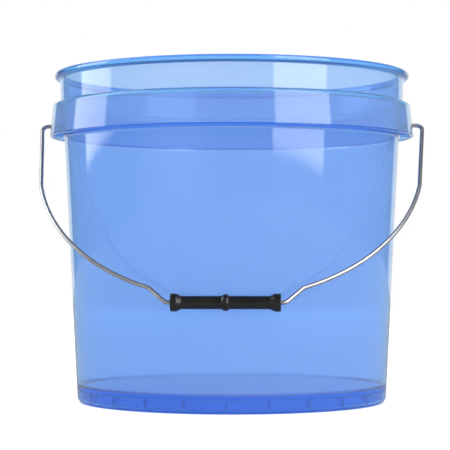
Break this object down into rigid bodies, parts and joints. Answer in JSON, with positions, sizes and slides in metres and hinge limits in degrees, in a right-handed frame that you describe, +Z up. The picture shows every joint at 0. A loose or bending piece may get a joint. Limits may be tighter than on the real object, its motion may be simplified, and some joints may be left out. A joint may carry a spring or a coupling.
{
  "type": "wash bucket",
  "caption": "Round tapered see-through plastic bucket with a rolled lip, a collar with two ears, a swinging wire bail and a spinning black hand grip.",
  "frame": {"origin": "centre of the ring that the bucket stands on, on the ground plane", "axes": "+Z up along the bucket's axis; +X through one ear, so the bail swings about a line along X; -Y is the front, where the bail hangs at rest"},
  "size_m": [0.3284, 0.3098, 0.278],
  "materials": {
    "tub_plastic": "clear blue moulded plastic, polished",
    "bail_steel": "galvanised wire, drawn",
    "grip_plastic": "black moulded plastic, satin"
  },
  "bodies": {
    "tub": {"tub": "tub_plastic"},
    "bail": {"bail_wire": "bail_steel"},
    "grip": {"grip": "grip_plastic"}
  },
  "joints": [
    {"name": "bail_swing", "type": "hinge", "parent": "tub", "child": "bail", "pos_m": [0, 0, 0.2345], "axis": [-1, 0, 0], "range_deg": [0, 270.5]},
    {"name": "grip_spin", "type": "hinge", "parent": "bail", "child": "grip", "pos_m": [0, -0.14306, 0.08697], "axis": [1, 0, 0], "continuous": true}
  ]
}
